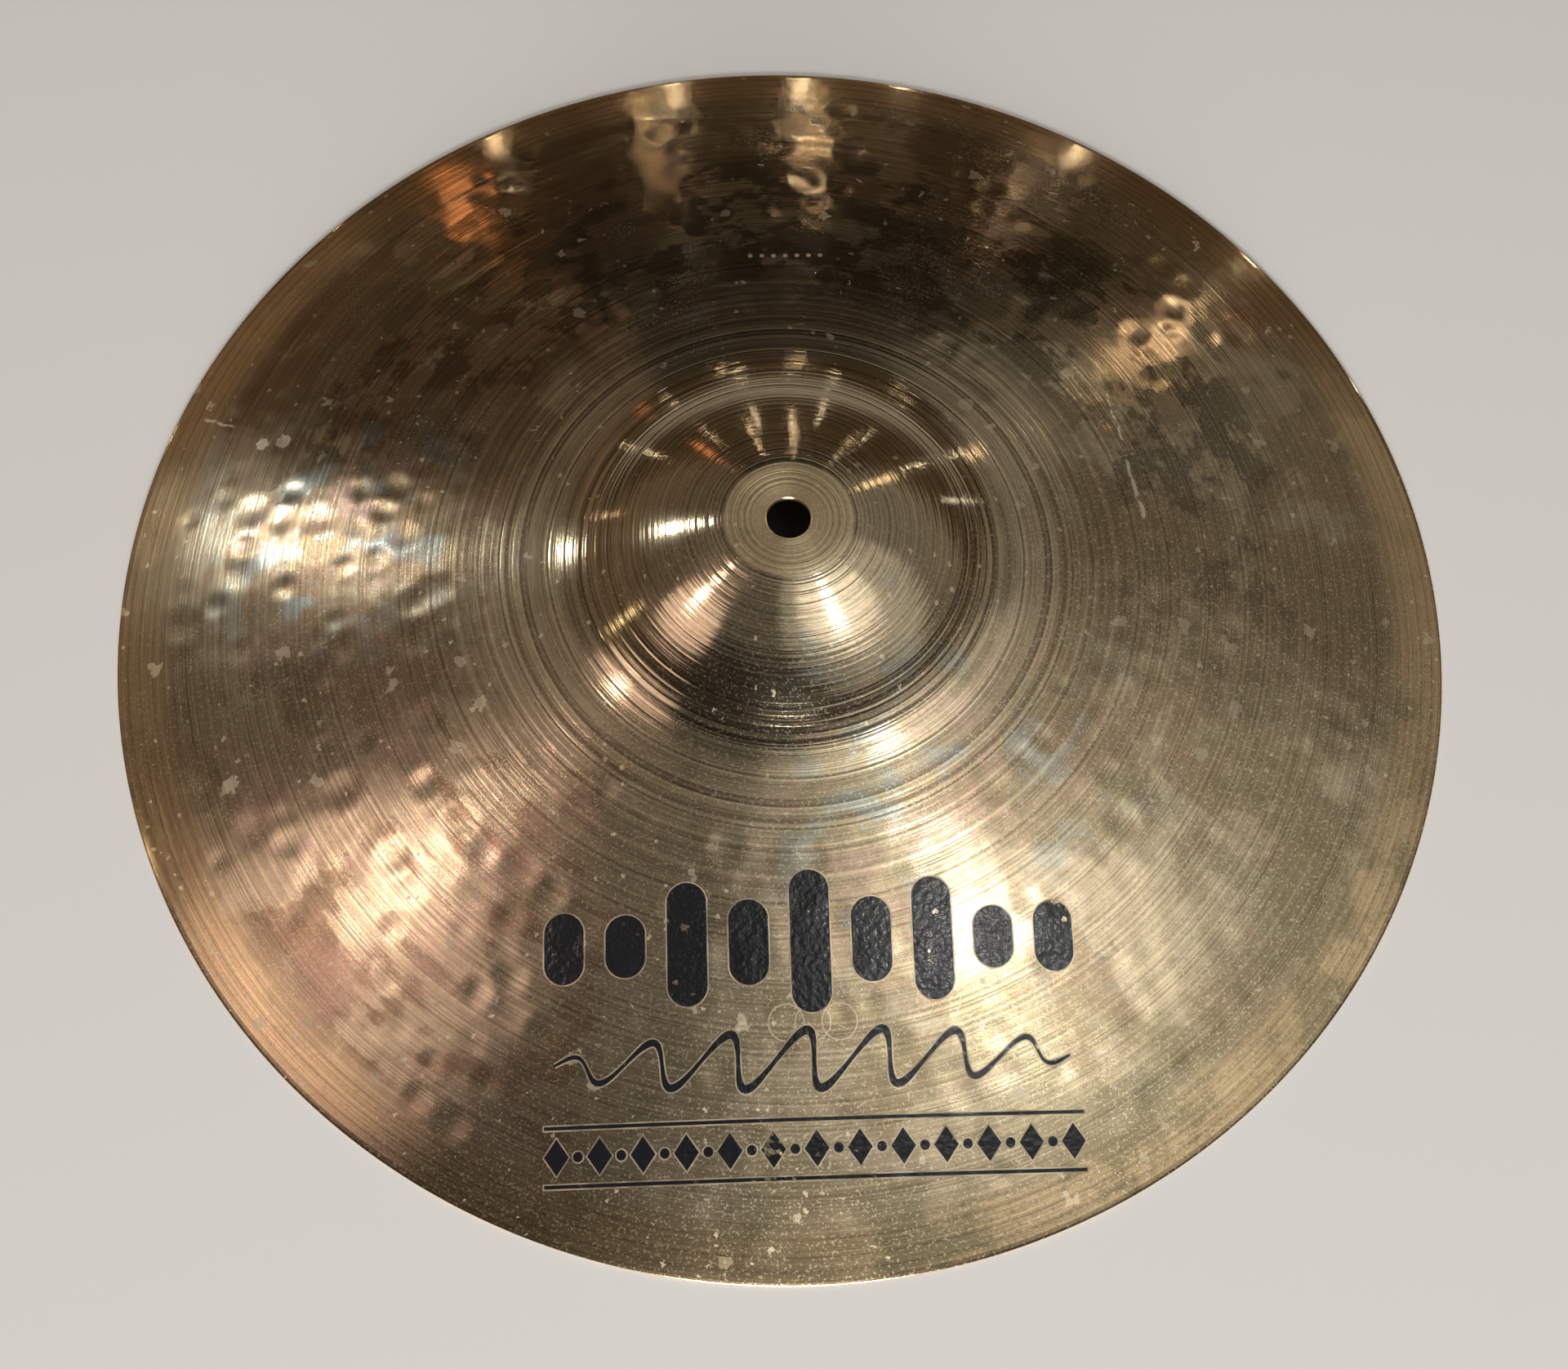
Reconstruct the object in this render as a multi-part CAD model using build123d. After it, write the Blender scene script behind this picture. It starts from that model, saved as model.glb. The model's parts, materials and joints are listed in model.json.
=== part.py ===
"""Crash cymbal, 16 inch: one cast and lathed bronze plate, and the ink that is printed on its top face.

The cymbal lies bell up on a table. The origin is in the table's plane, under the middle of the hole. +Z runs up
through the hole, and the print lies on the -Y side, to be read from there. All sizes are in millimetres.
"""

import os
from math import asin, cos, degrees, hypot, pi, sin, sqrt

from build123d import *

# ---- the plate: driving sizes
DIAMETER = 406.4  # 16 inch, over the rim
HEIGHT = 45.5  # table to the flat top of the bell
HOLE_DIAMETER = 12.7  # half an inch, for the stand's sleeve
HOLE_CHAMFER = 0.25  # broken edge at both mouths of the hole
SEAT_DIAMETER = 36.0  # flat top of the bell, where the felt sits
BELL_DIAMETER = 124.0  # circle where the bell's dome would meet the bow
BELL_FOOT_RADIUS = 36.0  # hollow round that leads the bell into the bow
BOW_CAMBER = 26.5  # rise of the bow's arc, rim to the middle, as if there were no bell
BELL_THICKNESS = 1.5
BOW_THICKNESS = 1.15  # the bow's thickness as its arc nears the middle
RIM_THICKNESS = 0.85  # the rim's edge is fully rounded

# ---- the print: driving sizes. It is laid out from the rim inwards: two rules, the flourish, the bars.
INK_THICKNESS = 0.1
PRINT_WIDTH = 145.0
PRINT_SHIFT = 2.4  # the print sits this far to the right of the middle
PRINT_MARGIN = 26.7  # rim to the middle of the lower rule
RULE_SPACING = 14.7  # middle of one rule to the middle of the other
RULE_THICKNESS = 0.9
FLOURISH_GAP = 6.2  # upper rule to the lowest swing of the flourish
FLOURISH_HEIGHT = 17.3  # over the widest wave, stroke and all
FLOURISH_WAVES = 7
FLOURISH_STROKE = 2.3  # widest part of the pen stroke
FLOURISH_TIP = 0.5  # width of the pen stroke at its tips
FLOURISH_LIGHT = 0.35  # share of the full swell that is left where the stroke is thinnest
FLOURISH_SLANT = 0.45  # lean of the waves, sideways over upwards
BAR_GAP = 3.35  # highest swing of the flourish to the foot of the tallest bar
BAR_HEIGHT = 38.0  # tallest bar
BAR_WIDTH = 10.8
BARS_EACH_SIDE = 4
BAR_FALL = pi / 12  # how fast the bars shorten towards the ends of the row
SHORT_BAR_SHARE = 0.62  # every second bar is this much of its neighbours
DIAMOND_HEIGHT = 9.2
DIAMOND_WIDTH = 6.6
DIAMONDS = 13
DOT_DIAMETER = 2.6

# ---- worked out from the sizes above
rim_radius = DIAMETER / 2
nose_radius = RIM_THICKNESS / 2
nose = (rim_radius - nose_radius, nose_radius)  # centre of the rim's round, as (distance from the axis, height)
hole_radius = HOLE_DIAMETER / 2
seat_radius = SEAT_DIAMETER / 2
bell_radius = BELL_DIAMETER / 2
bow_top = BOW_CAMBER + RIM_THICKNESS  # height at which the bow's upper arc would cross the axis

# Distances from the axis to the middle of each line of the print
lower_rule = rim_radius - PRINT_MARGIN
upper_rule = lower_rule - RULE_SPACING
flourish_centre = upper_rule - RULE_THICKNESS / 2 - FLOURISH_GAP - FLOURISH_HEIGHT / 2
bar_centre = flourish_centre - FLOURISH_HEIGHT / 2 - BAR_GAP - BAR_HEIGHT / 2


# ---- plane geometry of the section, with every point as (distance from the axis, height)
def bow_arc(apex, side):
    """Centre height and radius of a bow arc through the axis at apex, tangent to the rim's round: above it if
    side is -1, below it if side is +1."""
    reach = apex + side * nose_radius
    centre = (reach**2 - nose[0] ** 2 - nose[1] ** 2) / (2 * (reach - nose[1]))
    return centre, apex - centre


def toward(centre_height, radius, point):
    """The point of a circle centred on the axis that lies towards another point."""
    length = hypot(point[0], point[1] - centre_height)
    return radius * point[0] / length, centre_height + radius * (point[1] - centre_height) / length


def blend(dome_centre, dome_radius, bow_centre, bow_radius, radius):
    """The hollow round between the bell's dome and the bow: its centre, and where it touches each of them."""
    far_dome = dome_radius + radius
    far_bow = bow_radius + radius
    gap = dome_centre - bow_centre
    height = (dome_centre + bow_centre) / 2 + (far_bow**2 - far_dome**2) / (2 * gap)
    centre = (sqrt(far_dome**2 - (height - dome_centre) ** 2), height)
    return centre, toward(dome_centre, dome_radius, centre), toward(bow_centre, bow_radius, centre)


def section(point):
    """A section point as a place in space."""
    return Vector(point[0], 0, point[1])


def arc(centre, start, end):
    """The shorter arc round a centre, from start to end."""
    radius = hypot(start[0] - centre[0], start[1] - centre[1])
    lean = (start[0] + end[0] - 2 * centre[0], start[1] + end[1] - 2 * centre[1])
    scale = radius / hypot(*lean)
    middle = (centre[0] + lean[0] * scale, centre[1] + lean[1] * scale)
    return ThreePointArc(section(start), section(middle), section(end))


def line(start, end):
    """A straight piece of the section's outline."""
    return Line(section(start), section(end))


upper_bow_centre, upper_bow_radius = bow_arc(bow_top, -1)
lower_bow_centre, lower_bow_radius = bow_arc(bow_top - BOW_THICKNESS, +1)
bell_foot_height = upper_bow_centre + sqrt(upper_bow_radius**2 - bell_radius**2)
dome_centre = (seat_radius**2 + HEIGHT**2 - bell_radius**2 - bell_foot_height**2) / (2 * (HEIGHT - bell_foot_height))
dome_radius = hypot(seat_radius, HEIGHT - dome_centre)
under_dome_radius = dome_radius - BELL_THICKNESS
under_seat_height = HEIGHT - BELL_THICKNESS
under_seat_radius = sqrt(under_dome_radius**2 - (under_seat_height - dome_centre) ** 2)


# ---- the plate
def cymbal_section():
    """Half of the plate's cross-section, as a closed face to turn round the axis."""
    foot, dome_end, bow_start = blend(
        dome_centre, dome_radius, upper_bow_centre, upper_bow_radius, BELL_FOOT_RADIUS
    )
    under_foot, under_dome_end, under_bow_start = blend(
        dome_centre, under_dome_radius, lower_bow_centre, lower_bow_radius, BELL_FOOT_RADIUS + BELL_THICKNESS
    )
    bow_end = toward(upper_bow_centre, upper_bow_radius, nose)
    # The round lies outside the lower arc, so its point of touch is on the way from that arc's centre to it.
    under_bow_end = toward(lower_bow_centre, lower_bow_radius, nose)
    outermost = (rim_radius, nose[1])
    outline = [
        line((hole_radius, under_seat_height + HOLE_CHAMFER), (hole_radius, HEIGHT - HOLE_CHAMFER)),
        line((hole_radius, HEIGHT - HOLE_CHAMFER), (hole_radius + HOLE_CHAMFER, HEIGHT)),
        line((hole_radius + HOLE_CHAMFER, HEIGHT), (seat_radius, HEIGHT)),
        arc((0, dome_centre), (seat_radius, HEIGHT), dome_end),
        arc(foot, dome_end, bow_start),
        arc((0, upper_bow_centre), bow_start, bow_end),
        arc(nose, bow_end, outermost),
        arc(nose, outermost, under_bow_end),
        arc((0, lower_bow_centre), under_bow_end, under_bow_start),
        arc(under_foot, under_bow_start, under_dome_end),
        arc((0, dome_centre), under_dome_end, (under_seat_radius, under_seat_height)),
        line((under_seat_radius, under_seat_height), (hole_radius + HOLE_CHAMFER, under_seat_height)),
        line((hole_radius + HOLE_CHAMFER, under_seat_height), (hole_radius, under_seat_height + HOLE_CHAMFER)),
    ]
    return Face(Wire(outline))


def cymbal():
    """The bronze plate: bell, bow and rim in one piece."""
    return revolve(cymbal_section(), Axis.Z, 360)


# ---- the print
def ink_film():
    """The layer of ink as it would be if it covered the bow: it lies on the bow's upper face."""
    inner = bell_radius + BELL_FOOT_RADIUS / 2
    outer = rim_radius - RIM_THICKNESS

    def at(radius, lift):
        return radius, upper_bow_centre + sqrt((upper_bow_radius + lift) ** 2 - radius**2)

    outline = [
        arc((0, upper_bow_centre), at(inner, 0), at(outer, 0)),
        line(at(outer, 0), at(outer, INK_THICKNESS)),
        arc((0, upper_bow_centre), at(outer, INK_THICKNESS), at(inner, INK_THICKNESS)),
        line(at(inner, INK_THICKNESS), at(inner, 0)),
    ]
    return revolve(Face(Wire(outline)), Axis.Z, 360)


def printed(shape, film):
    """Flat artwork, drawn as seen from above, as solids of ink on the bow."""
    return film & extrude(shape, HEIGHT, dir=(0, 0, 1))


def bars():
    """A row of round-ended bars that shorten towards both ends."""
    pitch = (PRINT_WIDTH - BAR_WIDTH) / (2 * BARS_EACH_SIDE)
    row = Sketch()
    for step in range(-BARS_EACH_SIDE, BARS_EACH_SIDE + 1):
        share = SHORT_BAR_SHARE if step % 2 else 1
        height = BAR_HEIGHT * cos(step * BAR_FALL) * share
        row += Pos(PRINT_SHIFT + step * pitch, -bar_centre) * SlotOverall(height, BAR_WIDTH, rotation=90)
    return row


def flourish_line(share):
    """Middle of the pen stroke at a share of its length: a slanted wave that dies away to both ends."""
    reach = (FLOURISH_HEIGHT - FLOURISH_STROKE) / 2
    swing = reach * sqrt(sin(pi * share)) * sin(2 * pi * FLOURISH_WAVES * share)
    length = PRINT_WIDTH - FLOURISH_STROKE
    return PRINT_SHIFT + length * (share - 0.5) + FLOURISH_SLANT * swing, swing - flourish_centre


def flourish_edge(share, side):
    """A point on the stroke's edge, to the left of its way if side is +1. The stroke swells twice in a wave."""
    step = 0.001
    behind, ahead = flourish_line(share - step), flourish_line(share + step)
    along = (ahead[0] - behind[0], ahead[1] - behind[1])
    swell = FLOURISH_LIGHT + (1 - FLOURISH_LIGHT) * sin(2 * pi * FLOURISH_WAVES * share) ** 2
    half = side / 2 * (FLOURISH_TIP + (FLOURISH_STROKE - FLOURISH_TIP) * swell * sqrt(sin(pi * share)))
    x, y = flourish_line(share)
    return x - along[1] * half / hypot(*along), y + along[0] * half / hypot(*along)


def flourish():
    """One waving pen stroke, with short arcs along both edges and a straight cut at each tip."""
    arcs = 6 * FLOURISH_WAVES
    tip = 0.01  # share of the length that is left out at each end
    shares = [tip + (1 - 2 * tip) * step / (2 * arcs) for step in range(2 * arcs + 1)]
    left = [flourish_edge(share, +1) for share in shares]
    right = [flourish_edge(share, -1) for share in reversed(shares)]
    outline = [Line(left[-1], right[0]), Line(right[-1], left[0])]
    for edge in (left, right):
        for step in range(0, 2 * arcs, 2):
            outline.append(ThreePointArc(*edge[step : step + 3]))
    return Face(Wire(outline))


def rule(distance):
    """A straight line across the print."""
    return Pos(PRINT_SHIFT, -distance) * Rectangle(PRINT_WIDTH, RULE_THICKNESS)


def band_place(share):
    """Middle of the band between the rules, at a share of the row's length from its left end."""
    span = PRINT_WIDTH - DIAMOND_WIDTH
    return Pos(PRINT_SHIFT + span * (share - 0.5), -(upper_rule + lower_rule) / 2)


def diamonds():
    """A row of upright diamonds between the rules."""
    across, up = DIAMOND_WIDTH / 2, DIAMOND_HEIGHT / 2
    row = Sketch()
    for step in range(DIAMONDS):
        row += band_place(step / (DIAMONDS - 1)) * Polygon((-across, 0), (0, -up), (across, 0), (0, up))
    return row


def dots():
    """A dot in each gap between the diamonds."""
    row = Sketch()
    for step in range(DIAMONDS - 1):
        row += band_place((step + 0.5) / (DIAMONDS - 1)) * Circle(DOT_DIAMETER / 2)
    return row


def main():
    film = ink_film()
    parts = {
        "cymbal": cymbal(),
        "printed_bars": printed(bars(), film),
        "printed_flourish": printed(flourish(), film),
        "printed_upper_rule": printed(rule(upper_rule), film),
        "printed_lower_rule": printed(rule(lower_rule), film),
        "printed_diamonds": printed(diamonds(), film),
        "printed_dots": printed(dots(), film),
    }
    os.makedirs("parts", exist_ok=True)
    for name, shape in parts.items():
        export_step(shape, f"parts/{name}.step")
    print("bow slope at the rim, degrees", round(degrees(asin(nose[0] / upper_bow_radius)), 2))
    print("bow arc radius", round(upper_bow_radius, 1), "bell dome radius", round(dome_radius, 1))


main()
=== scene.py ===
"""Crash cymbal, 16 inch: hammered and turned bronze with a black print, lying bell up on a pale floor.

Everything is in metres, in the part's own frame: +Z up through the hole, the floor at z = 0, and the
print towards -Y.
"""

import json
import random
from math import asin, ceil, cos, hypot, pi, radians, sin, sqrt

import bmesh
import bpy
import numpy as np
from mathutils import Matrix, Vector, noise

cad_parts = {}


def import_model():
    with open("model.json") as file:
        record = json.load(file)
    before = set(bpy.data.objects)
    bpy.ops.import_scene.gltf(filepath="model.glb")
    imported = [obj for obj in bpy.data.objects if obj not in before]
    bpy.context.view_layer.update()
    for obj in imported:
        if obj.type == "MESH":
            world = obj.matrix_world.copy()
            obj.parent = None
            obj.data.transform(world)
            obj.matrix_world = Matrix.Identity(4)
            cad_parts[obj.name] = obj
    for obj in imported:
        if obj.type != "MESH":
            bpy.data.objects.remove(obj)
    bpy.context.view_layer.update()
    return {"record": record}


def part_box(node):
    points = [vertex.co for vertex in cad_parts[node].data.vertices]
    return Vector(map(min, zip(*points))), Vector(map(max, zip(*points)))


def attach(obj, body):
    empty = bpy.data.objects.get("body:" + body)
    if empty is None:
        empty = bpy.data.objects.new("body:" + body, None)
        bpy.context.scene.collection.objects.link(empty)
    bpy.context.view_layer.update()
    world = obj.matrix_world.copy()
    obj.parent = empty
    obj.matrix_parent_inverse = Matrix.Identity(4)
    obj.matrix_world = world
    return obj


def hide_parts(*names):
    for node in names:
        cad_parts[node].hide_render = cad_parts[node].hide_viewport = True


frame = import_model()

MM = 0.001
SEED = 16

plate_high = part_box("cymbal")[1]
hole_mount = next(m for m in frame["record"]["mounts"] if m["name"] == "mounting_hole")

# ---- the plate's section, from the frame where it says, and otherwise as the part is dimensioned
RIM_RADIUS = plate_high.x
HEIGHT = plate_high.z
HOLE_RADIUS = hole_mount["dims"]["r_mm"] * MM
WALL = hole_mount["dims"]["length_mm"] * MM
HOLE_CHAMFER = 0.25 * MM
SEAT_RADIUS = 18 * MM
BELL_RADIUS = 62 * MM
BELL_FOOT_RADIUS = 36 * MM
BOW_CAMBER = 26.5 * MM
BELL_THICKNESS = WALL + 2 * HOLE_CHAMFER
BOW_THICKNESS = 1.15 * MM
RIM_THICKNESS = 0.85 * MM

# ---- how finely the plate is divided
SECTORS = 16  # a power of two
SPOKES = SECTORS * 38
NOSE_STEPS = 5
SEAT_STEP = 2.4 * MM
BELL_STEP = 2.2 * MM
BOW_STEP = 1.6 * MM
UNDER_BOW_STEP = 4.5 * MM
UNDER_BELL_STEP = 6 * MM
SHARP = radians(40)


# ---- section geometry, with every point as (distance from the axis, height)
nose_radius = RIM_THICKNESS / 2
nose = (RIM_RADIUS - nose_radius, nose_radius)
bow_top = BOW_CAMBER + RIM_THICKNESS


def bow_arc(apex, side):
    """Centre height and radius of a bow arc through the axis at apex that is tangent to the rim's round."""
    reach = apex + side * nose_radius
    centre = (reach**2 - nose[0] ** 2 - nose[1] ** 2) / (2 * (reach - nose[1]))
    return centre, apex - centre


def toward(centre, radius, point):
    """The point of a circle round a centre on the axis that lies towards another point."""
    length = hypot(point[0], point[1] - centre)
    return radius * point[0] / length, centre + radius * (point[1] - centre) / length


class Skin:
    """One face of the plate, from the flat seat out to the rim's round: dome, hollow foot and bow."""

    def __init__(self, dome, bow, foot_radius, seat_height):
        self.dome_centre, self.dome_radius = dome
        self.bow_centre, self.bow_radius = bow
        self.foot_radius = foot_radius
        self.seat_height = seat_height
        far_dome, far_bow = self.dome_radius + foot_radius, self.bow_radius + foot_radius
        gap = self.dome_centre - self.bow_centre
        height = (self.dome_centre + self.bow_centre) / 2 + (far_bow**2 - far_dome**2) / (2 * gap)
        self.foot = (sqrt(far_dome**2 - (height - self.dome_centre) ** 2), height)
        self.foot_start = toward(self.dome_centre, self.dome_radius, self.foot)[0]
        self.foot_end = toward(self.bow_centre, self.bow_radius, self.foot)[0]
        self.bow_end = toward(self.bow_centre, self.bow_radius, nose)[0]

    def height(self, radius):
        """Heights at an array of distances from the axis."""
        radius = np.asarray(radius, float)
        dome = self.dome_centre + np.sqrt(np.maximum(self.dome_radius**2 - radius**2, 0))
        foot = self.foot[1] - np.sqrt(np.maximum(self.foot_radius**2 - (radius - self.foot[0]) ** 2, 0))
        bow = self.bow_centre + np.sqrt(self.bow_radius**2 - radius**2)
        bell = np.where(radius < self.foot_start, np.minimum(dome, self.seat_height), foot)
        return np.where(radius < self.foot_end, bell, bow)


def skins():
    """The plate's upper and lower face."""
    upper_bow = bow_arc(bow_top, -1)
    lower_bow = bow_arc(bow_top - BOW_THICKNESS, +1)
    foot_height = upper_bow[0] + sqrt(upper_bow[1] ** 2 - BELL_RADIUS**2)
    rise = HEIGHT - foot_height
    dome_centre = (SEAT_RADIUS**2 + HEIGHT**2 - BELL_RADIUS**2 - foot_height**2) / (2 * rise)
    dome_radius = hypot(SEAT_RADIUS, HEIGHT - dome_centre)
    under_seat = HEIGHT - BELL_THICKNESS
    upper = Skin((dome_centre, dome_radius), upper_bow, BELL_FOOT_RADIUS, HEIGHT)
    lower_dome = (dome_centre, dome_radius - BELL_THICKNESS)
    lower = Skin(lower_dome, lower_bow, BELL_FOOT_RADIUS + BELL_THICKNESS, under_seat)
    return upper, lower


upper_skin, lower_skin = skins()


# ---- hammering
class Hammering:
    """The hammer's marks on the bow, in uneven rows round the bell, and the slow waves between them."""

    FIRST_ROW = 92 * MM
    ROW_SPACING = 10.2 * MM
    ROWS = 10
    MARK_SPACING = 12.5 * MM
    MISSED_SHARE = 0.2
    SIDE_JITTER = 0.3
    JITTER = 3 * MM
    SIZES = (1.8, 3.2)
    DEPTHS = (0.02, 0.155)
    REACH = 4
    LIP_HEIGHT = 0.3
    LIP_PLACE = 2.1
    LIP_WIDTH = 0.7
    FADE = 9 * MM
    INNER = 80 * MM
    OUTER = RIM_RADIUS - 4 * MM
    WAVE_LENGTH = 28 * MM
    WAVE_HEIGHT = 0.18 * MM

    def __init__(self):
        dice = random.Random(SEED)
        self.marks = []
        for row in range(self.ROWS):
            radius = self.FIRST_ROW + row * self.ROW_SPACING
            count = int(2 * pi * radius / self.MARK_SPACING)
            for step in range(count):
                if dice.random() < self.MISSED_SHARE:
                    continue
                angle = 2 * pi * (step + dice.uniform(-self.SIDE_JITTER, self.SIDE_JITTER)) / count
                out = radius + dice.uniform(-1, 1) * self.JITTER
                size = dice.uniform(*self.SIZES) * MM
                depth = dice.uniform(*self.DEPTHS) * MM
                self.marks.append((out * cos(angle), out * sin(angle), size, depth))

    def lift(self, x, y):
        """How far the plate is moved upwards at arrays of places: mostly down, into the marks."""
        radius = np.hypot(x, y)
        moved = np.array([self._wave(a, b) for a, b in zip(x, y)])
        for at_x, at_y, size, depth in self.marks:
            reach = self.REACH * size
            near = np.flatnonzero((np.abs(x - at_x) < reach) & (np.abs(y - at_y) < reach))
            away = np.hypot(x[near] - at_x, y[near] - at_y) / size
            lip = np.exp(-(((away - self.LIP_PLACE) / self.LIP_WIDTH) ** 2))
            dent = np.exp(-away * away / 2) - self.LIP_HEIGHT * lip
            moved[near] -= depth * dent
        inner = np.clip((radius - self.INNER) / self.FADE, 0, 1)
        outer = np.clip((self.OUTER - radius) / self.FADE, 0, 1)
        share = inner * outer
        return moved * share * share * (3 - 2 * share)

    def _wave(self, x, y):
        return self.WAVE_HEIGHT * noise.noise(Vector((x, y, 0)) / self.WAVE_LENGTH)


hammering = Hammering()


def move_all(bm, move):
    """Moves every vertex of a mesh to where a function of the array of places puts it."""
    for vertex, place in zip(bm.verts, move(np.array([vertex.co for vertex in bm.verts]))):
        vertex.co = place


# ---- shader recipes
class Number:
    """A number on its way between shader nodes: arithmetic on it adds Math nodes."""

    def __init__(self, recipe, socket):
        self.recipe = recipe
        self.socket = socket

    def _math(self, operation, *values):
        return self.recipe.add("ShaderNodeMath", {"operation": operation}, dict(enumerate(values)))

    def __add__(self, other):
        return self._math("ADD", self, other)

    def __sub__(self, other):
        return self._math("SUBTRACT", self, other)

    def __mul__(self, other):
        return self._math("MULTIPLY", self, other)

    def __truediv__(self, other):
        return self._math("DIVIDE", self, other)

    def __pow__(self, other):
        return self._math("POWER", self, other)

    def __rsub__(self, other):
        return self._math("SUBTRACT", other, self)

    __radd__ = __add__
    __rmul__ = __mul__

    def most(self, other):
        return self._math("MAXIMUM", self, other)

    def size(self):
        return self._math("ABSOLUTE", self)

    def rise(self, low, high):
        """0 below low, 1 above high and smooth between them. It falls instead if low is the larger."""
        settings = {"interpolation_type": "SMOOTHSTEP", "clamp": True}
        sockets = {"Value": self, "From Min": low, "From Max": high}
        return self.recipe.add("ShaderNodeMapRange", settings, sockets)


class Recipe:
    """A material while it is being put together."""

    def __init__(self, name):
        self.material = bpy.data.materials.new(name)
        self.material.use_nodes = True
        self.nodes = self.material.node_tree.nodes
        self.nodes.clear()
        self.place = self.add("ShaderNodeTexCoord", out="Object")
        self.x = self.add("ShaderNodeSeparateXYZ", {}, {0: self.place}, "X")
        self.y = self.add("ShaderNodeSeparateXYZ", {}, {0: self.place}, "Y")
        self.radius = (self.x * self.x + self.y * self.y) ** 0.5

    def add(self, kind, settings=None, sockets=None, out=0):
        """Adds a node, makes its settings, then fills or links its sockets. Gives one of its outputs."""
        node = self.nodes.new(kind)
        for name, value in (settings or {}).items():
            setattr(node, name, value)
        for name, value in (sockets or {}).items():
            if isinstance(value, Number):
                self.material.node_tree.links.new(value.socket, node.inputs[name])
            else:
                node.inputs[name].default_value = value
        return Number(self, node.outputs[out]) if node.outputs else None

    def blotches(self, scale, detail=3.0, roughness=0.55, stretch=None, distortion=0.0):
        """Noise of about scale features to a metre, from 0 to 1."""
        place = self.place if stretch is None else self.turned(*stretch)
        sockets = {"Vector": place, "Scale": scale, "Detail": detail}
        sockets.update({"Roughness": roughness, "Distortion": distortion})
        return self.add("ShaderNodeTexNoise", {}, sockets, "Fac")

    def turned(self, degrees, scale):
        """The place, turned about Z and then stretched."""
        sockets = {"Vector": self.place, "Rotation": (0, 0, radians(degrees)), "Scale": scale}
        return self.add("ShaderNodeMapping", {"vector_type": "TEXTURE"}, sockets)

    def rings(self, scale, detail=2.0, roughness=0.6):
        """Noise that changes only with the distance from the axis, of about scale rings to a metre."""
        sockets = {"W": self.radius, "Scale": scale, "Detail": detail, "Roughness": roughness}
        return self.add("ShaderNodeTexNoise", {"noise_dimensions": "1D"}, sockets, "Fac")

    def spots(self, scale, share, size, wobble=0.25):
        """Soft-edged spots, from 0 to 1, in a share of the cells where a metre has about scale cells."""
        ripple = {"Vector": self.place, "Scale": scale * 2.5, "Detail": 2.0}
        bent = self.add("ShaderNodeTexNoise", {}, ripple, "Color")
        nudge = {0: bent, 1: (wobble / scale,) * 3, 2: self.place}
        nudged = self.add("ShaderNodeVectorMath", {"operation": "MULTIPLY_ADD"}, nudge)
        cell = {"Vector": nudged, "Scale": scale, "Randomness": 1.0}
        flat = {"voronoi_dimensions": "2D"}
        away = self.add("ShaderNodeTexVoronoi", flat, cell, "Distance")
        tint = self.add("ShaderNodeTexVoronoi", flat, cell, "Color")
        chance = self.add("ShaderNodeSeparateColor", {}, {0: tint}, "Red")
        draw = self.add("ShaderNodeSeparateColor", {}, {0: tint}, "Green")
        reach = (draw * draw * 0.75 + 0.25) * size
        picked = chance.rise(share + 0.01, share)
        return (reach - away).rise(0.0, 0.05) * picked

    def swept(self, rings, around, detail=2.0, roughness=0.6):
        """Noise drawn out round the axis, with about rings of it to a metre and around of it to a radian."""
        out = self.add("ShaderNodeCombineXYZ", {}, {"X": self.x / self.radius, "Y": self.y / self.radius})
        arm = self.add("ShaderNodeVectorMath", {"operation": "SCALE"}, {0: out, "Scale": around})
        sockets = {"Vector": arm, "W": self.radius * rings, "Scale": 1.0}
        sockets.update({"Detail": detail, "Roughness": roughness})
        return self.add("ShaderNodeTexNoise", {"noise_dimensions": "4D"}, sockets, "Fac")

    def hairlines(self, degrees, rarity):
        """Fine straight scratches in one direction, in a few places, from 0 to 1."""
        along = self.turned(degrees, (0.03, 1, 1))
        sockets = {"Vector": along, "Scale": 520.0, "Detail": 1.0}
        line = self.add("ShaderNodeTexNoise", {}, sockets, "Fac")
        return line.rise(0.70, 0.76) * self.blotches(30, 2.0).rise(rarity - 0.02, rarity + 0.03)

    def nearness(self, x, y, inner, outer, warp=0.0):
        """1 within a distance of a place, 0 beyond another."""
        away = ((self.x - x) ** 2 + (self.y - y) ** 2) ** 0.5 + warp
        return away.rise(outer, inner)

    def scratch(self, start, end, torn):
        """A straight scratch between two places, wandering and broken by a noise."""
        length = hypot(end[0] - start[0], end[1] - start[1])
        ahead = ((end[0] - start[0]) / length, (end[1] - start[1]) / length)
        along = (self.x - start[0]) * ahead[0] + (self.y - start[1]) * ahead[1]
        aside = (self.x - start[0]) * -ahead[1] + (self.y - start[1]) * ahead[0]
        wander = (self.blotches(60, 2.0) - 0.5) * 0.008
        line = (aside + wander).size().rise(0.0008, 0.0003)
        return line * along.rise(0, 0.002) * along.rise(length, length - 0.002) * torn.rise(0.38, 0.46)

    def mix(self, share, first, second):
        """A colour between two colours."""
        settings = {"data_type": "RGBA", "clamp_factor": True}
        return self.add("ShaderNodeMix", settings, {0: share, 6: first, 7: second}, 2)

    def multiply(self, share, first, second):
        """A colour, and in a share of it that colour times another."""
        settings = {"data_type": "RGBA", "blend_type": "MULTIPLY", "clamp_factor": True}
        return self.add("ShaderNodeMix", settings, {0: share, 6: first, 7: second}, 2)

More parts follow.
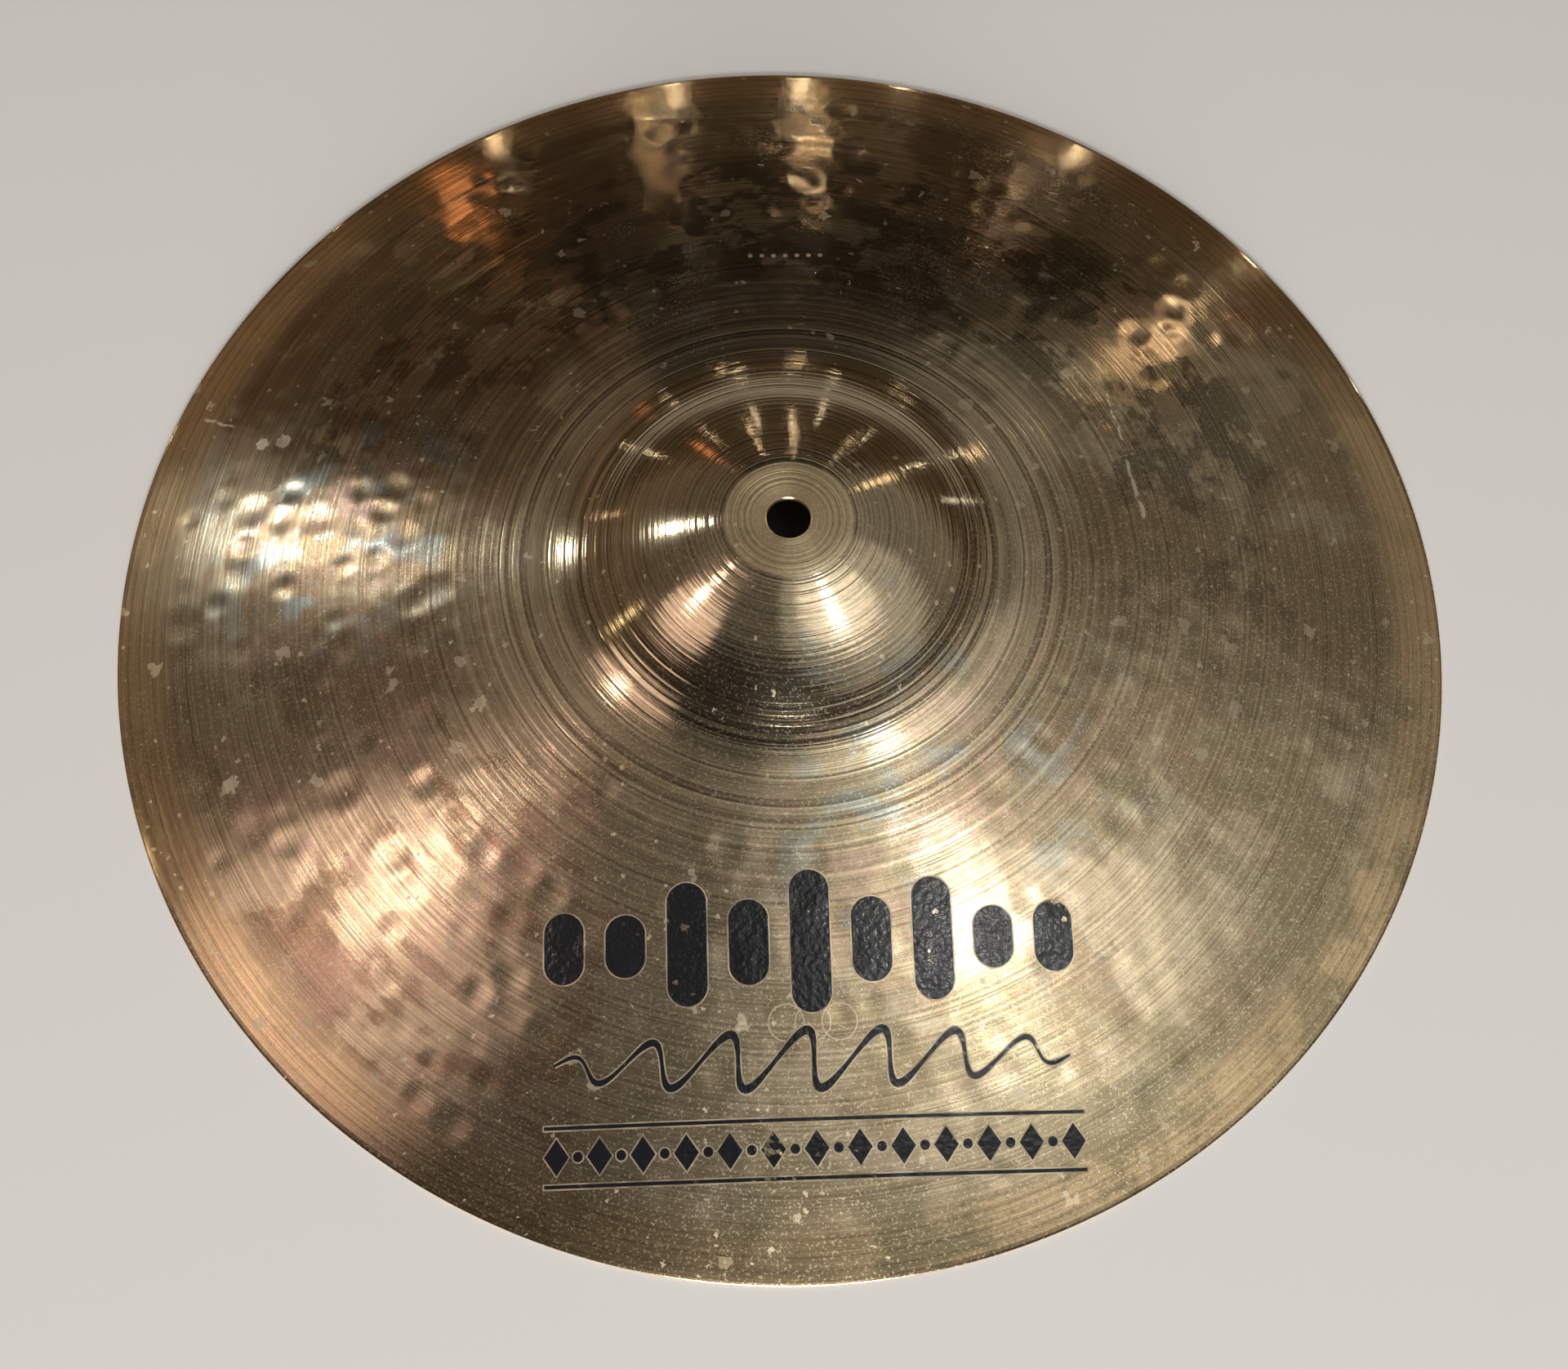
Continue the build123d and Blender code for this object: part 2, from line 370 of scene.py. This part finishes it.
    def finish(self, bump=None, **sockets):
        """Closes the material with one Principled shader. bump is (height in metres, strength)."""
        if bump is not None:
            height, strength = bump
            relief = {"Height": height, "Strength": strength, "Distance": 1.0}
            sockets["Normal"] = self.add("ShaderNodeBump", {}, relief)
        named = {name.replace("_", " "): value for name, value in sockets.items()}
        shader = self.add("ShaderNodeBsdfPrincipled", {}, named)
        self.add("ShaderNodeOutputMaterial", {}, {"Surface": shader})
        return self.material


def rgb(red, green, blue):
    return (red, green, blue, 1.0)


# ---- materials
def bronze(name):
    """Cast bronze, turned on the lathe, tarnished by hands and years."""
    recipe = Recipe(name)
    radius = recipe.radius
    bow = radius.rise(0.070, 0.092)
    band = radius.rise(0.183, 0.194)
    bell = radius.rise(0.078, 0.060)
    seat = radius.rise(0.019, 0.017)
    inner_grooves = radius.rise(0.013, 0.016) * radius.rise(0.030, 0.025)
    grooves = inner_grooves + radius.rise(0.048, 0.056) * radius.rise(0.122, 0.080)

    # lathe lines, and strokes that run only part of the way round
    fine = recipe.rings(1150, 2.0)
    coarse = recipe.rings(430, 3.0, 0.7)
    strokes = recipe.swept(1300, 9, 2.0)
    swept = recipe.swept(190, 4, 4.0)
    lines = (coarse - 0.5) * (grooves * 1.4 + 0.07) + (fine - 0.5) * 0.8 + (strokes - 0.5) * 0.35

    # tarnish in ragged patches, heaviest on the far half and short of the outer band
    mottle = recipe.blotches(19, 6.0, 0.62, distortion=0.4)
    clouds = recipe.blotches(8, 4.0, 0.6)
    far = recipe.y.rise(-0.13, 0.10)
    farthest = recipe.y.rise(0.0, 0.08)
    left = recipe.x.rise(0.06, -0.10)
    front = recipe.y.rise(0.02, -0.10) * recipe.x.rise(-0.08, 0.02)
    right = recipe.x.rise(0.05, 0.14)
    belt = radius.rise(0.088, 0.105) * radius.rise(0.172, 0.150)
    smooth = front.most(right)
    tarnish = mottle * (0.5 + smooth * 0.15) + clouds * 0.25 + swept * (0.25 - smooth * 0.15)
    tarnish = tarnish + far * belt * 0.025 + left * 0.02 - front * 0.02
    ragged = tarnish.rise(0.505, 0.535) * 0.6 + tarnish.rise(0.44, 0.62) * 0.4
    patches = ragged * (bow * 0.75 + 0.25) * (1 - band * 0.8) * (1 - seat) * (1 - smooth * 0.35)

    clean = rgb(0.60, 0.49, 0.335)
    brown = rgb(0.27, 0.17, 0.095)
    olive = rgb(0.35, 0.30, 0.18)
    colour = recipe.mix(patches * 0.9, clean, brown)
    colour = recipe.mix(band * 0.7, colour, rgb(0.88, 0.64, 0.36))
    colour = recipe.mix(seat * 0.6, colour, rgb(0.92, 0.72, 0.43))
    islands = (recipe.swept(75, 6, 5.0, 0.64) + (mottle - 0.5) * 0.4).rise(0.455, 0.52)
    colour = recipe.mix((1 - islands) * far * belt * 0.75, colour, rgb(0.115, 0.085, 0.05))
    copper = recipe.nearness(0.158, 0.090, 0.004, 0.022, mottle * 0.01)
    colour = recipe.mix(copper * 0.6, colour, rgb(0.62, 0.34, 0.20))
    olive_share = recipe.blotches(38, 5.0, 0.62).rise(0.47, 0.60) * (0.3 + front * 0.35) + seat * 0.1
    colour = recipe.mix(olive_share, colour, olive)
    tints = recipe.blotches(70, 4.0, 0.6)
    front_film = recipe.nearness(0.035, -0.075, 0.01, 0.09)
    left_film = recipe.nearness(-0.14, 0.01, 0.01, 0.07)
    film = front_film.most(left_film)
    colour = recipe.mix(tints.rise(0.50, 0.66) * film * 0.42, colour, rgb(0.40, 0.52, 0.58))
    colour = recipe.mix(tints.rise(0.50, 0.36) * film * 0.45, colour, rgb(0.62, 0.42, 0.36))
    # painted reflection: a pink tint on the lower left bow, centred where the pink side lamp's highlight
    # falls
    pink_reflection_tint = recipe.nearness(-0.12, -0.10, 0.02, 0.11) * recipe.blotches(40, 3.0).rise(0.4, 0.66)
    colour = recipe.mix(pink_reflection_tint * 0.45, colour, rgb(0.60, 0.40, 0.33))
    tide = recipe.nearness(0.180, 0.040, 0.019, 0.0205, mottle * 0.03)
    colour = recipe.mix(tide * 0.35, colour, rgb(0.27, 0.23, 0.14))
    shade = recipe.mix((lines + 0.5).rise(0.0, 1.0), rgb(0.42, 0.40, 0.38), rgb(1.5, 1.5, 1.48))
    colour = recipe.multiply(1.0, colour, shade)

    # dried drops, dust and scratches
    near = recipe.y.rise(0.10, -0.10) * 0.6 + recipe.x.rise(-0.1, 0.1) * 0.4
    drops = recipe.spots(150, 0.05, 0.42, 0.9) * (1 - bell)
    grain = recipe.blotches(1300, 1.0, 0.6).rise(0.56, 0.68) * near
    pits = recipe.blotches(750, 2.0, 0.7).rise(0.54, 0.66) * near
    flecks = recipe.spots(420, 0.05, 0.34, 0.9) * (1 - far * 0.4)
    hairs = recipe.hairlines(24, 0.57)
    hairs = hairs.most(recipe.hairlines(-38, 0.59))
    hairs = hairs.most(recipe.hairlines(78, 0.58))
    torn = recipe.blotches(260, 4.0)
    long_scratch = recipe.scratch((0.103, 0.058), (0.109, 0.010), torn)
    short_scratch = recipe.scratch((-0.184, 0.064), (-0.172, 0.058), torn)
    hairs = hairs.most(long_scratch).most(short_scratch)
    pale = rgb(0.66, 0.59, 0.46)
    colour = recipe.mix(pits * 0.4, colour, rgb(0.26, 0.21, 0.13))
    colour = recipe.mix(grain * 0.5, colour, rgb(0.80, 0.73, 0.54))
    colour = recipe.mix(drops * 0.30, colour, pale)
    colour = recipe.mix(flecks * 0.5, colour, pale)
    colour = recipe.mix(hairs * 0.6, colour, pale)

    rubbed = patches * 0.04 + (mottle - 0.5) * 0.10 + grain * 0.08
    rubbed = rubbed + drops * 0.12 + flecks * 0.12 + hairs * 0.1
    worn_smooth = bell * 0.10 + band * 0.03 + far * 0.03 + farthest * 0.06
    roughness = (rubbed + 0.23 + seat * 0.20 - worn_smooth).most(0.13)
    dull = hairs.most(flecks).most(drops * 0.4).most(grain * 0.25)
    height = (fine - 0.5) * 0.000024 + (coarse - 0.5) * (grooves * 0.00006 + 0.00001)
    height = height + (recipe.rings(640, 2.0) - 0.5) * (bell * 0.00009 + grooves * 0.00009)
    height = height + (strokes - 0.5) * 0.000008
    height = height + recipe.blotches(75, 1.0, 0.3) * 0.00008 * bow * (1 - band)
    return recipe.finish(
        bump=(height, 1.0),
        Base_Color=colour,
        Metallic=1 - dull * 0.35,
        Roughness=roughness,
        Anisotropic=0.65,
        Anisotropic_Rotation=0.25,
    )


def old_lacquer():
    """The clear base coat that shows as a pale line round the print."""
    recipe = Recipe("old_lacquer")
    worn = recipe.blotches(120, 4.0)
    colour = recipe.mix(worn.rise(0.35, 0.65), rgb(0.34, 0.28, 0.19), rgb(0.66, 0.56, 0.40))
    return recipe.finish(Base_Color=colour, Metallic=1.0, Roughness=0.36 + worn * 0.1)


def ink():
    """Black screen-printing ink, half gloss, with a wrinkled skin, small chips and one worn patch."""
    recipe = Recipe("black_ink")
    wrinkle = recipe.blotches(620, 1.5, 0.5)
    rule_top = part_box("printed_lower_rule")[1].y
    worn = recipe.nearness(PRINT_MIDDLE - 0.08 * PRINT_WIDTH, rule_top + 4 * MM, 3 * MM, 14 * MM)
    chips = recipe.spots(420, 0.03, 0.5, 0.9)
    chips = chips.most((worn * 0.22 + recipe.blotches(420, 3.0)).rise(0.73, 0.76))
    colour = recipe.mix(chips, rgb(0.007, 0.007, 0.009), rgb(0.45, 0.36, 0.24))
    return recipe.finish(
        bump=(wrinkle * 0.00019, 1.0),
        Base_Color=colour,
        Metallic=chips,
        Roughness=0.15 + wrinkle * 0.10,
        Specular_IOR_Level=0.45,
    )


def engraving():
    """Bright cut metal in a punched or engraved mark."""
    recipe = Recipe("bright_engraving")
    return recipe.finish(Base_Color=rgb(0.62, 0.54, 0.40), Metallic=1.0, Roughness=0.40)


def paper():
    """The pale floor."""
    recipe = Recipe("pale_floor")
    return recipe.finish(Base_Color=rgb(0.74, 0.735, 0.72), Roughness=0.85)


# ---- pieces
def to_object(bm, name, materials):
    """Makes an object of a finished mesh."""
    bmesh.ops.recalc_face_normals(bm, faces=bm.faces)
    mesh = bpy.data.meshes.new(name)
    for face in bm.faces:
        face.smooth = True
    for edge in bm.edges:
        edge.smooth = not edge.is_manifold or edge.calc_face_angle() < SHARP
    bm.to_mesh(mesh)
    bm.free()
    for material in materials:
        mesh.materials.append(material)
    piece = bpy.data.objects.new(name, mesh)
    bpy.context.scene.collection.objects.link(piece)
    return piece


def stations(start, end, step):
    """Distances from start to end, both counted, in even steps of at most a given length."""
    count = ceil(abs(end - start) / step)
    return [start + (end - start) * k / count for k in range(count + 1)]


def turned(outline):
    """A closed section, turned round the axis: one sector is spun, and then copied round until it closes."""
    bm = bmesh.new()
    ring = [bm.verts.new((r, 0, z)) for r, z in outline]
    wires = [bm.edges.new((a, b)) for a, b in zip(ring, ring[1:] + ring[:1])]
    sector = 2 * pi / SECTORS
    steps = SPOKES // SECTORS
    bmesh.ops.spin(bm, geom=ring + wires, cent=(0, 0, 0), axis=(0, 0, 1), angle=sector, steps=steps)
    while sector < 1.99 * pi:
        copied = bmesh.ops.duplicate(bm, geom=bm.verts[:] + bm.edges[:] + bm.faces[:])["geom"]
        moved = [part for part in copied if isinstance(part, bmesh.types.BMVert)]
        bmesh.ops.rotate(bm, verts=moved, cent=(0, 0, 0), matrix=Matrix.Rotation(sector, 3, "Z"))
        sector *= 2
    bmesh.ops.remove_doubles(bm, verts=bm.verts, dist=0.001 * MM)
    return bm


def plate():
    """The cymbal itself: its section, turned round the axis, and then hammered."""
    upper, lower = upper_skin, lower_skin
    top = stations(HOLE_RADIUS + HOLE_CHAMFER, SEAT_RADIUS, SEAT_STEP)
    top += stations(SEAT_RADIUS, upper.foot_end, BELL_STEP)[1:]
    top += stations(upper.foot_end, upper.bow_end, BOW_STEP)[1:]
    under = stations(lower.bow_end, lower.foot_end, UNDER_BOW_STEP)
    under += stations(lower.foot_end, HOLE_RADIUS + HOLE_CHAMFER, UNDER_BELL_STEP)[1:]
    lean = asin(upper.bow_end / upper.bow_radius)
    turns = [lean + (pi - 2 * lean) * k / NOSE_STEPS for k in range(1, NOSE_STEPS)]
    outline = [(r, z) for r, z in zip(top, upper.height(top))]
    outline += [(nose[0] + nose_radius * sin(turn), nose[1] + nose_radius * cos(turn)) for turn in turns]
    outline += [(r, z) for r, z in zip(under, lower.height(under))]
    outline += [(HOLE_RADIUS, HEIGHT - BELL_THICKNESS + HOLE_CHAMFER), (HOLE_RADIUS, HEIGHT - HOLE_CHAMFER)]

    def hammered(place):
        place[:, 2] += hammering.lift(place[:, 0], place[:, 1])
        return place

    bm = turned(outline)
    move_all(bm, hammered)
    return to_object(bm, "hammered_cymbal", [bronze("turned_bronze")])


# ---- the print
PRINT_LOW, PRINT_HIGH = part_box("printed_bars")
PRINT_MIDDLE = (PRINT_LOW.x + PRINT_HIGH.x) / 2
PRINT_WIDTH = PRINT_HIGH.x - PRINT_LOW.x
BAR_WIDTH = 10.8 * MM
BARS_EACH_SIDE = 4
BAR_FALL = pi / 12
SHORT_BAR_SHARE = 0.62
FLOURISH_WAVES = 7
FLOURISH_STROKE = 2.3 * MM
FLOURISH_TIP = 0.5 * MM
FLOURISH_LIGHT = 0.35
FLOURISH_SLANT = 0.45
FLOURISH_UNDRAWN = 0.01
DIAMONDS = 13
DIAMOND_HALF_WIDTH = 3.3 * MM
PUNCHED_DOTS = 7
PUNCHED_DOT = 1.5 * MM
PUNCHED_SPACING = 3.8 * MM
PUNCHED_START = (-8 * MM, 110 * MM)
ENGRAVED_RADIUS = 4.6 * MM
ENGRAVED_SPACING = 7.2 * MM
ENGRAVED_LINE = 1.08
ENGRAVED_Y = -137 * MM
INK_THICKNESS = 0.1 * MM
LACQUER_THICKNESS = 0.05 * MM
MARK_THICKNESS = 0.02 * MM
LACQUER_MARGIN = 0.4 * MM
SINK = 0.06 * MM
CELL = 1.2 * MM


def sheet(middle, size, cell=CELL):
    """A flat grid of small faces."""
    bm = bmesh.new()
    across, up = (max(1, ceil(length / cell)) for length in size)
    bmesh.ops.create_grid(bm, x_segments=across, y_segments=up, size=0.5)
    bmesh.ops.scale(bm, vec=(size[0], size[1], 1), verts=bm.verts)
    bmesh.ops.translate(bm, vec=(middle[0], middle[1], 0), verts=bm.verts)
    return bm


def cut(bm, point, outward):
    """Cuts away what lies beyond a point in a direction."""
    everything = bm.verts[:] + bm.edges[:] + bm.faces[:]
    bmesh.ops.bisect_plane(
        bm, geom=everything, dist=1e-7, plane_co=(*point, 0), plane_no=(*outward, 0), clear_outer=True
    )


def round_sheet(middle, size, corners=24):
    """A flat grid with half-round ends, upright if it is taller than it is wide."""
    bm = sheet(middle, size)
    reach = size[0] / 2
    straight = size[1] / 2 - reach
    for step in range(corners):
        angle = 2 * pi * (step + 0.5) / corners
        away = (cos(angle), sin(angle))
        end = middle[1] + (straight if away[1] > 0 else -straight)
        cut(bm, (middle[0] + reach * away[0], end + reach * away[1]), away)
    return bm


def joined(meshes):
    """One mesh of many."""
    whole = bmesh.new()
    for bm in meshes:
        part = bpy.data.meshes.new("part")
        bm.to_mesh(part)
        bm.free()
        whole.from_mesh(part)
        bpy.data.meshes.remove(part)
    return whole


def bars(grow=0.0):
    """The row of round-ended bars, tallest in the middle."""
    pitch = (PRINT_WIDTH - BAR_WIDTH) / (2 * BARS_EACH_SIDE)
    middle = (PRINT_LOW.y + PRINT_HIGH.y) / 2
    tallest = PRINT_HIGH.y - PRINT_LOW.y
    row = []
    for step in range(-BARS_EACH_SIDE, BARS_EACH_SIDE + 1):
        height = tallest * cos(step * BAR_FALL) * (SHORT_BAR_SHARE if step % 2 else 1)
        size = (BAR_WIDTH + 2 * grow, height + 2 * grow)
        row.append(round_sheet((PRINT_MIDDLE + step * pitch, middle), size))
    return joined(row)


def flourish(grow=0.0):
    """The pen stroke: a straight strip, bent along a waving line and wider where the pen pressed."""
    low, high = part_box("printed_flourish")
    middle = (low.y + high.y) / 2
    swing = (high.y - low.y - FLOURISH_STROKE) / 2
    length = PRINT_WIDTH - FLOURISH_STROKE

    def line(share):
        rise = swing * np.sqrt(np.sin(pi * share)) * np.sin(2 * pi * FLOURISH_WAVES * share)
        return PRINT_MIDDLE + length * (share - 0.5) + FLOURISH_SLANT * rise, middle + rise

    def bend(place):
        share = FLOURISH_UNDRAWN + (1 - 2 * FLOURISH_UNDRAWN) * (place[:, 0] + 0.5)
        x, y = line(share)
        ahead, behind = line(share + 0.001), line(share - 0.001)
        along = np.array([ahead[0] - behind[0], ahead[1] - behind[1]])
        along /= np.hypot(*along)
        swell = FLOURISH_LIGHT + (1 - FLOURISH_LIGHT) * np.sin(2 * pi * FLOURISH_WAVES * share) ** 2
        width = FLOURISH_TIP + (FLOURISH_STROKE - FLOURISH_TIP) * swell * np.sqrt(np.sin(pi * share))
        off = place[:, 1] * (width + 2 * grow)
        return np.stack([x - along[1] * off, y + along[0] * off, place[:, 2]], 1)

    bm = bmesh.new()
    bmesh.ops.create_grid(bm, x_segments=FLOURISH_WAVES * 30, y_segments=3, size=0.5)
    move_all(bm, bend)
    return bm


def rule(node, grow=0.0):
    """One of the two rules, where its CAD solid lies."""
    low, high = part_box(node)
    middle = ((low.x + high.x) / 2, (low.y + high.y) / 2)
    return sheet(middle, (high.x - low.x + 2 * grow, high.y - low.y + 2 * grow))


def diamonds(grow=0.0):
    """The diamonds between the rules."""
    low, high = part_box("printed_diamonds")
    middle = (low.y + high.y) / 2
    up = (high.y - low.y) / 2
    across = DIAMOND_HALF_WIDTH
    row = []
    for step in range(DIAMONDS):
        x = low.x + across + (high.x - low.x - 2 * across) * step / (DIAMONDS - 1)
        bm = sheet((x, middle), (2 * across + 4 * grow, 2 * up + 4 * grow), CELL / 2)
        for side in (-1, 1):
            for end in (-1, 1):
                away = Vector((side * up, end * across)).normalized()
                cut(bm, (x + side * across + away.x * grow, middle + away.y * grow), away)
        row.append(bm)
    return joined(row)


def dots(grow=0.0):
    """The dots between the diamonds."""
    low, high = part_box("printed_dots")
    size = high.y - low.y
    row = []
    for step in range(DIAMONDS - 1):
        x = low.x + size / 2 + (high.x - low.x - size) * step / (DIAMONDS - 2)
        row.append(round_sheet((x, (low.y + high.y) / 2), (size + 2 * grow, size + 2 * grow), 16))
    return joined(row)


def punched_dots():
    """A row of small dots on the far side of the bow."""
    first, away = PUNCHED_START
    places = [(first + PUNCHED_SPACING * step, away) for step in range(PUNCHED_DOTS)]
    return joined([round_sheet(place, (PUNCHED_DOT, PUNCHED_DOT), 12) for place in places])


def engraved_rings():
    """Three linked rings, finely cut, half under the print."""
    row = []
    for step in (-1, 0, 1):
        bm = bmesh.new()
        bmesh.ops.create_circle(bm, cap_ends=False, segments=48, radius=ENGRAVED_RADIUS)
        wide = bmesh.ops.extrude_edge_only(bm, edges=bm.edges[:])["geom"]
        outer = [part for part in wide if isinstance(part, bmesh.types.BMVert)]
        bmesh.ops.scale(bm, vec=(ENGRAVED_LINE, ENGRAVED_LINE, 1), verts=outer)
        middle = (PRINT_MIDDLE + step * ENGRAVED_SPACING, ENGRAVED_Y, 0)
        bmesh.ops.translate(bm, vec=middle, verts=bm.verts)
        row.append(bm)
    return joined(row)


def laid(bm, name, thickness, material):
    """Lays flat artwork on the hammered bow as a film."""
    made = bmesh.ops.extrude_face_region(bm, geom=bm.faces[:])["geom"]
    lifted = [part for part in made if isinstance(part, bmesh.types.BMVert)]
    bmesh.ops.translate(bm, vec=(0, 0, 1), verts=lifted)

    def on_bow(place):
        x, y, layer = place.T
        skin = upper_skin.height(np.hypot(x, y)) + hammering.lift(x, y)
        return np.stack([x, y, skin + np.where(layer > 0.5, thickness, -SINK)], 1)

    move_all(bm, on_bow)
    return to_object(bm, name, [material])


# ---- build
def belongs(piece):
    """Makes the piece ride on the part's only body."""
    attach(piece, "root")


def build():
    """Makes every piece, and hides the CAD node it stands in for."""
    cymbal = plate()
    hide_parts("cymbal")
    belongs(cymbal)
    black, lacquer, marked = ink(), old_lacquer(), engraving()
    artwork = {
        "bars": bars,
        "flourish": flourish,
        "upper_rule": lambda grow=0.0: rule("printed_upper_rule", grow),
        "lower_rule": lambda grow=0.0: rule("printed_lower_rule", grow),
        "diamonds": diamonds,
        "dots": dots,
    }
    for name, draw in artwork.items():
        film = laid(draw(), "ink_" + name, INK_THICKNESS, black)
        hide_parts("printed_" + name)
        belongs(film)
        margin = laid(draw(LACQUER_MARGIN), "lacquer_under_" + name, LACQUER_THICKNESS, lacquer)
        belongs(margin)
    for name, bm in (("punched_dots", punched_dots()), ("engraved_rings", engraved_rings())):
        belongs(laid(bm, name, MARK_THICKNESS, marked))


build()


# ---- stage
FLOOR_REACH = 4


def floor():
    """A plain level floor under the rim."""
    bm = bmesh.new()
    bmesh.ops.create_grid(bm, x_segments=1, y_segments=1, size=FLOOR_REACH)
    return to_object(bm, "floor", [paper()])


def lamp(name, azimuth, elevation, away, size, power, colour):
    """A round area light that faces the cymbal. Azimuth is counted from +X towards +Y."""
    across, up = radians(azimuth), radians(elevation)
    place = away * Vector((cos(up) * cos(across), cos(up) * sin(across), sin(up)))
    data = bpy.data.lights.new(name, "AREA")
    data.shape = "DISK"
    data.size = size
    data.energy = power
    data.color = colour
    light = bpy.data.objects.new(name, data)
    light.location = place
    light.rotation_euler = place.to_track_quat("Z", "Y").to_euler()
    bpy.context.scene.collection.objects.link(light)


def world(above, low):
    """A dim room of one colour above, and of another from about 30 degrees down to the floor."""
    surroundings = bpy.data.worlds.new("dim_room")
    surroundings.use_nodes = True
    nodes, links = surroundings.node_tree.nodes, surroundings.node_tree.links
    ray = nodes.new("ShaderNodeTexCoord")
    apart = nodes.new("ShaderNodeSeparateXYZ")
    ramp = nodes.new("ShaderNodeValToRGB")
    ramp.color_ramp.interpolation = "EASE"
    lower, upper = ramp.color_ramp.elements
    lower.position = 0.46
    lower.color = low
    upper.position = 0.60
    upper.color = above
    links.new(ray.outputs["Generated"], apart.inputs["Vector"])
    links.new(apart.outputs["Z"], ramp.inputs["Fac"])
    links.new(ramp.outputs["Color"], nodes["Background"].inputs["Color"])
    bpy.context.scene.world = surroundings


def camera():
    """Above and in front of the near rim, looking down at the cymbal."""
    data = bpy.data.cameras.new("camera")
    data.sensor_width = 36
    data.lens = 36
    eye = bpy.data.objects.new("camera", data)
    turn, tilt, roll = radians(-5.01), radians(22.10), radians(3.279)
    aim = Matrix.Rotation(turn, 4, "Z") @ Matrix.Rotation(tilt, 4, "X") @ Matrix.Rotation(roll, 4, "Z")
    eye.matrix_world = Matrix.Translation(Vector((-17.1, -210.8, 440.3)) * MM) @ aim
    bpy.context.scene.collection.objects.link(eye)
    bpy.context.scene.camera = eye


floor()
world(rgb(0.036, 0.032, 0.028), rgb(0.068, 0.047, 0.028))
lamp("front_softbox", -90, 14, 3.2, 1.4, 175, (1.0, 0.985, 0.96))
lamp("overhead", 90, 85, 1.9, 2.4, 1.4, (1.0, 0.92, 0.82))
lamp("left_wall", 150, 45, 1.8, 2.4, 1.3, (1.0, 0.74, 0.54))
lamp("right_wall", 20, 55, 1.8, 2.5, 2.7, (1.0, 0.95, 0.85))
lamp("ceiling", -20, 63, 1.8, 1.9, 2.9, (1.0, 1.0, 0.94))
lamp("key_glow", -22, 70, 1.7, 0.9, 1.9, (1.0, 0.99, 0.95))
lamp("key", -26, 71, 1.6, 0.08, 1.3, (1.0, 0.99, 0.95))
lamp("pink_side", 180, 60, 1.6, 0.08, 0.75, (1.0, 0.80, 0.76))
lamp("pink_glow", -168, 54, 1.7, 0.7, 1.35, (1.0, 0.78, 0.72))
lamp("cool_side", 143, 42, 1.6, 0.08, 1.3, (0.95, 1.0, 0.98))
lamp("far_right", 53, 32, 1.8, 0.05, 0.16, (1.0, 0.82, 0.60))
lamp("far_left", 97, 22, 1.8, 0.02, 0.075, (1.0, 0.86, 0.66))
lamp("far_middle", 85, 24, 1.8, 0.02, 0.09, (1.0, 0.86, 0.66))
lamp("far_amber", 112, 24, 1.8, 0.06, 0.045, (1.0, 0.42, 0.18))
lamp("far_small", 69, 24, 1.8, 0.03, 0.04, (1.0, 0.90, 0.76))
lamp("low_middle", 79, 10, 1.9, 0.02, 0.08, (1.0, 0.94, 0.84))
lamp("low_left", 95, 13, 1.9, 0.02, 0.08, (1.0, 0.94, 0.84))
lamp("low_right", 51, 14, 1.9, 0.02, 0.08, (1.0, 0.96, 0.88))
lamp("low_far", 66, 17, 1.9, 0.02, 0.04, (1.0, 0.94, 0.84))
lamp("low_corner", 108, 17, 1.9, 0.02, 0.04, (1.0, 0.90, 0.76))
lamp("low_back", 86, 16, 1.9, 0.02, 0.05, (1.0, 0.94, 0.84))
lamp("low_window", 38, 10, 1.9, 0.03, 0.08, (0.94, 0.97, 1.0))
lamp("low_shelf", 143, 12, 1.9, 0.03, 0.06, (1.0, 0.80, 0.60))
lamp("low_side", 122, 9, 1.9, 0.02, 0.06, (1.0, 0.92, 0.80))
lamp("gold_side", 180, 30, 1.8, 0.08, 0.15, (1.0, 0.82, 0.55))
camera()
bpy.context.scene.view_settings.view_transform = "Standard"
